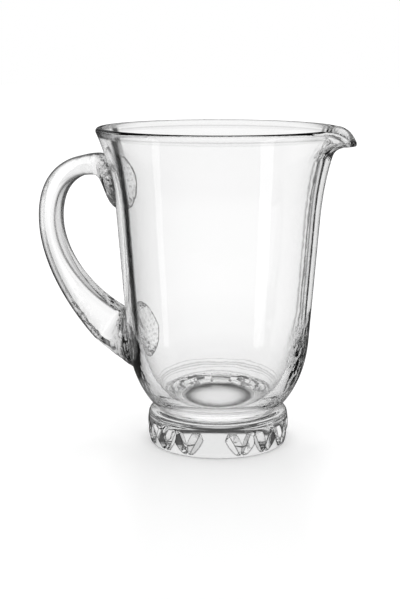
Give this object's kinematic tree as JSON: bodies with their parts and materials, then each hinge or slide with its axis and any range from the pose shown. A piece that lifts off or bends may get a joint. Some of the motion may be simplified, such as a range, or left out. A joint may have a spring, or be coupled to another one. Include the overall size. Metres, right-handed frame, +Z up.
{
  "type": "glass pitcher",
  "caption": "Footed clear glass pitcher with a flared bowl, a pulled pouring lip, an applied strap handle and a thick foot with slanted cuts round its side.",
  "frame": {"origin": "centre of the foot's flat underside, on the axis of the bowl", "axes": "+Z up, +X towards the pouring lip, the handle on -X"},
  "size_m": [0.2141, 0.1594, 0.2102],
  "materials": {
    "foot_glass": "pressed, with polished slanted cuts and a ground flat underside",
    "bowl_glass": "blown, with a fire-polished rim",
    "handle_glass": "drawn, fire-polished"
  },
  "bodies": {
    "root": {"foot": "foot_glass", "bowl": "bowl_glass", "handle": "handle_glass"}
  },
  "joints": []
}
